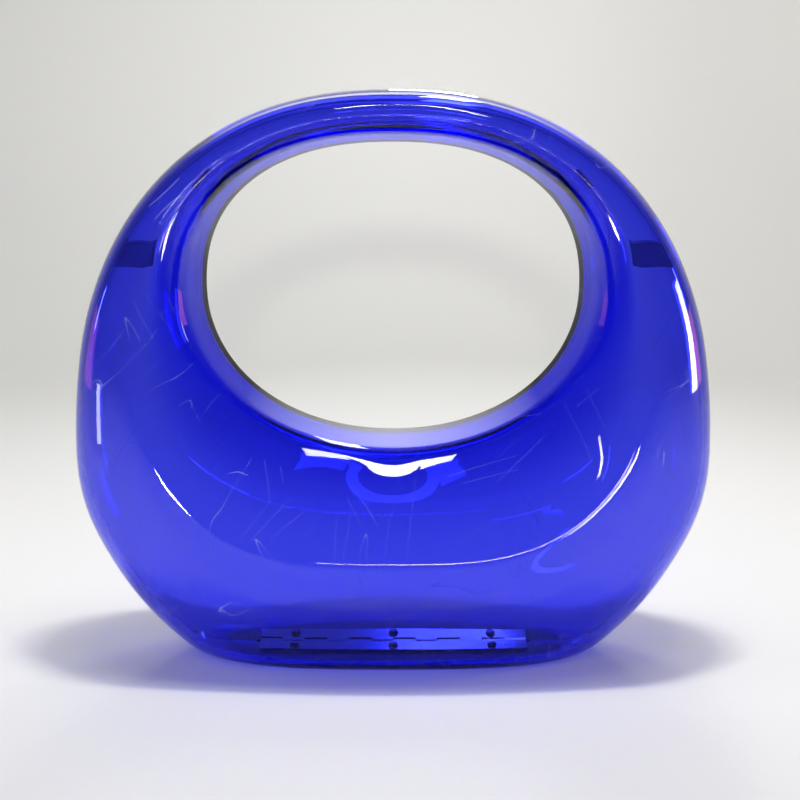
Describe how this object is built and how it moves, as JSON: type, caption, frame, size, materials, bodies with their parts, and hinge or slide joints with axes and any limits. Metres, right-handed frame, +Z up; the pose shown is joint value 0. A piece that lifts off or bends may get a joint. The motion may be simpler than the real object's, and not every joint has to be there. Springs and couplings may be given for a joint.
{
  "type": "round rigid handbag with ring handle",
  "caption": "Round rigid handbag of clear cobalt-blue acrylic, two half shells hinged in the flat base, with a ring handle round its hand hole.",
  "frame": {"origin": "middle of the flat base, in the plane where the two shells meet", "axes": "+Z up, +X to the right as seen from the front, front towards -Y"},
  "size_m": [0.2384, 0.104, 0.213],
  "materials": {
    "blue_acrylic": "gloss",
    "hinge_steel": "satin",
    "dark_screw": "satin",
    "dark_catch": "satin",
    "magnet": "satin"
  },
  "bodies": {
    "back_half": {"back_shell": "blue_acrylic", "back_hinge_leaf": "hinge_steel", "hinge_pin": "hinge_steel", "back_screw_left": "dark_screw", "back_screw_middle": "dark_screw", "back_screw_right": "dark_screw", "back_left_side_catch": "dark_catch", "back_right_side_catch": "dark_catch", "back_left_side_magnet": "magnet", "back_right_side_magnet": "magnet", "back_left_shoulder_catch": "dark_catch", "back_right_shoulder_catch": "dark_catch"},
    "front_half": {"front_shell": "blue_acrylic", "front_hinge_leaf": "hinge_steel", "front_screw_left": "dark_screw", "front_screw_middle": "dark_screw", "front_screw_right": "dark_screw", "front_left_side_catch": "dark_catch", "front_right_side_catch": "dark_catch", "front_left_side_magnet": "magnet", "front_right_side_magnet": "magnet", "front_left_shoulder_catch": "dark_catch", "front_right_shoulder_catch": "dark_catch"}
  },
  "joints": [
    {"name": "base_hinge", "type": "hinge", "parent": "back_half", "child": "front_half", "pos_m": [0, 0, 0.0023], "axis": [1, 0, 0], "range_deg": [0, 90]}
  ]
}
